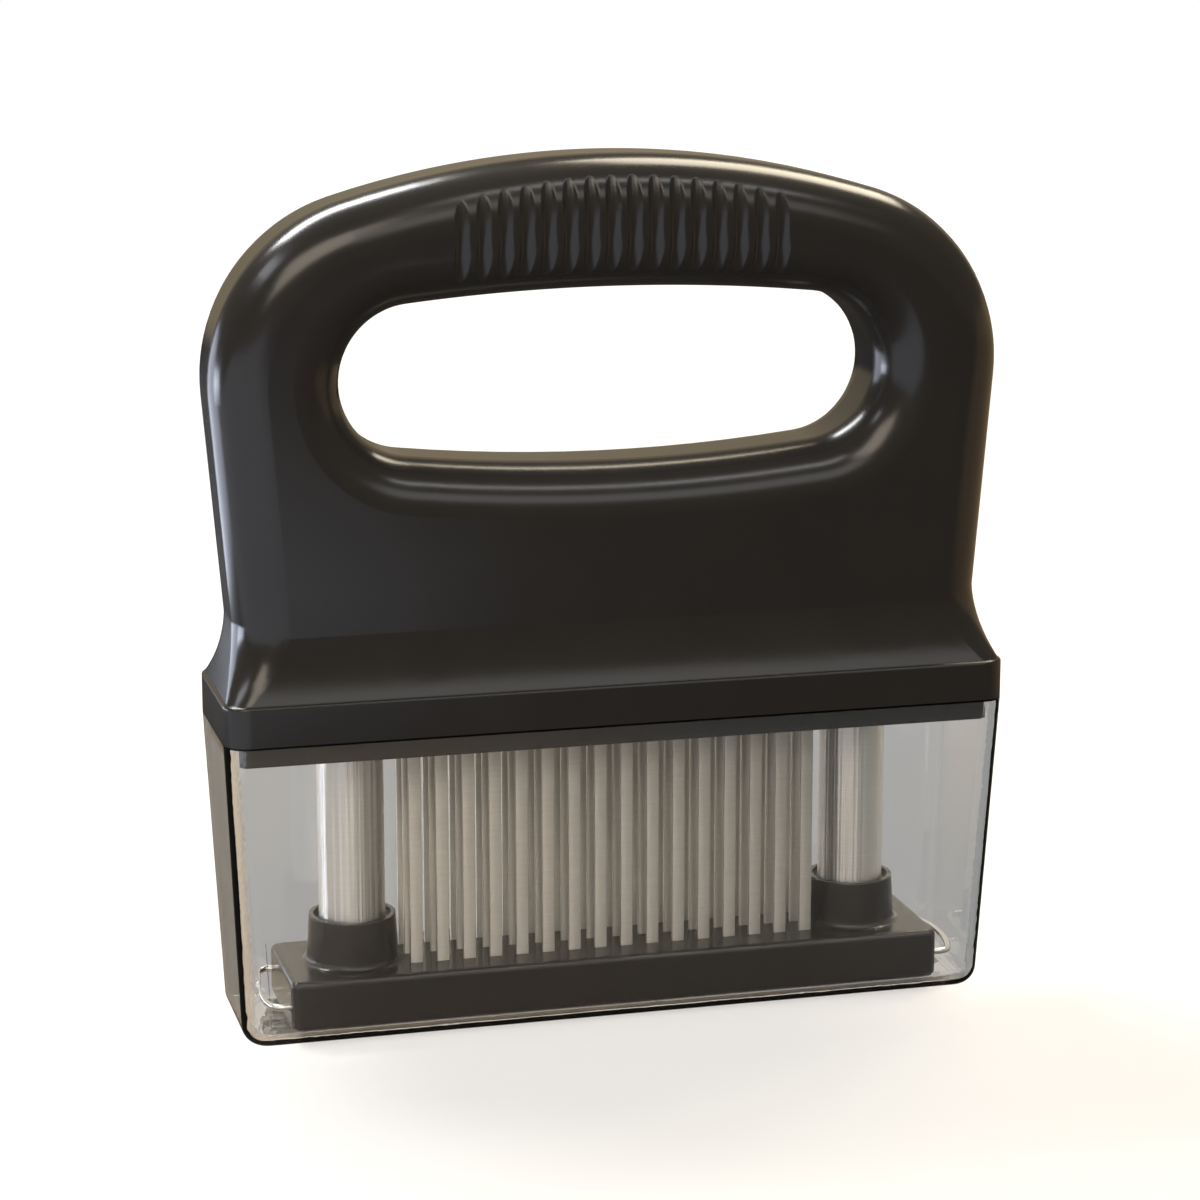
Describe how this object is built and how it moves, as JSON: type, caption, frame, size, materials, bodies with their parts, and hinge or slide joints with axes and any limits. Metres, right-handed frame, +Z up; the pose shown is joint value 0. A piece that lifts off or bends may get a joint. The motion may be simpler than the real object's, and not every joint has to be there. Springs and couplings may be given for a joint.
{
  "type": "blade meat tenderizer",
  "caption": "Blade meat tenderizer: a loop handle over rows of flat blades, with a spring-loaded foot that guards the points and a clear box cover.",
  "frame": {"origin": "middle of the clear cover's underside, where the object stands on a table", "axes": "+Z up through the handle, +X along the handle, +Y from front to back"},
  "size_m": [0.1302, 0.0304, 0.1415],
  "materials": {
    "black_abs": "satin moulded ABS",
    "black_acetal": "low-friction acetal",
    "clear_styrene": "clear moulded polystyrene",
    "blade_steel": "ground stainless steel",
    "polished_steel": "polished stainless steel tube",
    "spring_steel": "drawn stainless wire",
    "zinc_steel": "zinc-plated steel"
  },
  "bodies": {
    "handle": {"handle_shell": "black_abs", "lip_plate": "black_abs", "lip_plate_screws": "zinc_steel", "blade_carrier": "black_acetal", "blade_clamp_plate": "zinc_steel", "front_blade_row": "blade_steel", "middle_blade_row": "blade_steel", "back_blade_row": "blade_steel", "left_guide_bush": "black_acetal", "right_guide_bush": "black_acetal", "left_spring_post": "black_acetal", "right_spring_post": "black_acetal", "left_spring": "spring_steel", "right_spring": "spring_steel"},
    "foot": {"foot_plate": "black_abs", "left_column": "polished_steel", "right_column": "polished_steel", "left_stop_ring": "zinc_steel", "right_stop_ring": "zinc_steel", "left_retaining_clip": "spring_steel", "right_retaining_clip": "spring_steel"},
    "cover": {"clear_cover": "clear_styrene"}
  },
  "joints": [
    {"name": "foot_slide", "type": "slide", "parent": "handle", "child": "foot", "axis": [0, 0, 1], "range_m": [0, 0.027], "stiffness_N_per_m": 1500, "springref_m": -0.012, "deforming": ["left_spring", "right_spring"]},
    {"name": "cover_slide", "type": "slide", "parent": "handle", "child": "cover", "axis": [0, 0, -1], "range_m": [0, 0.055]}
  ]
}
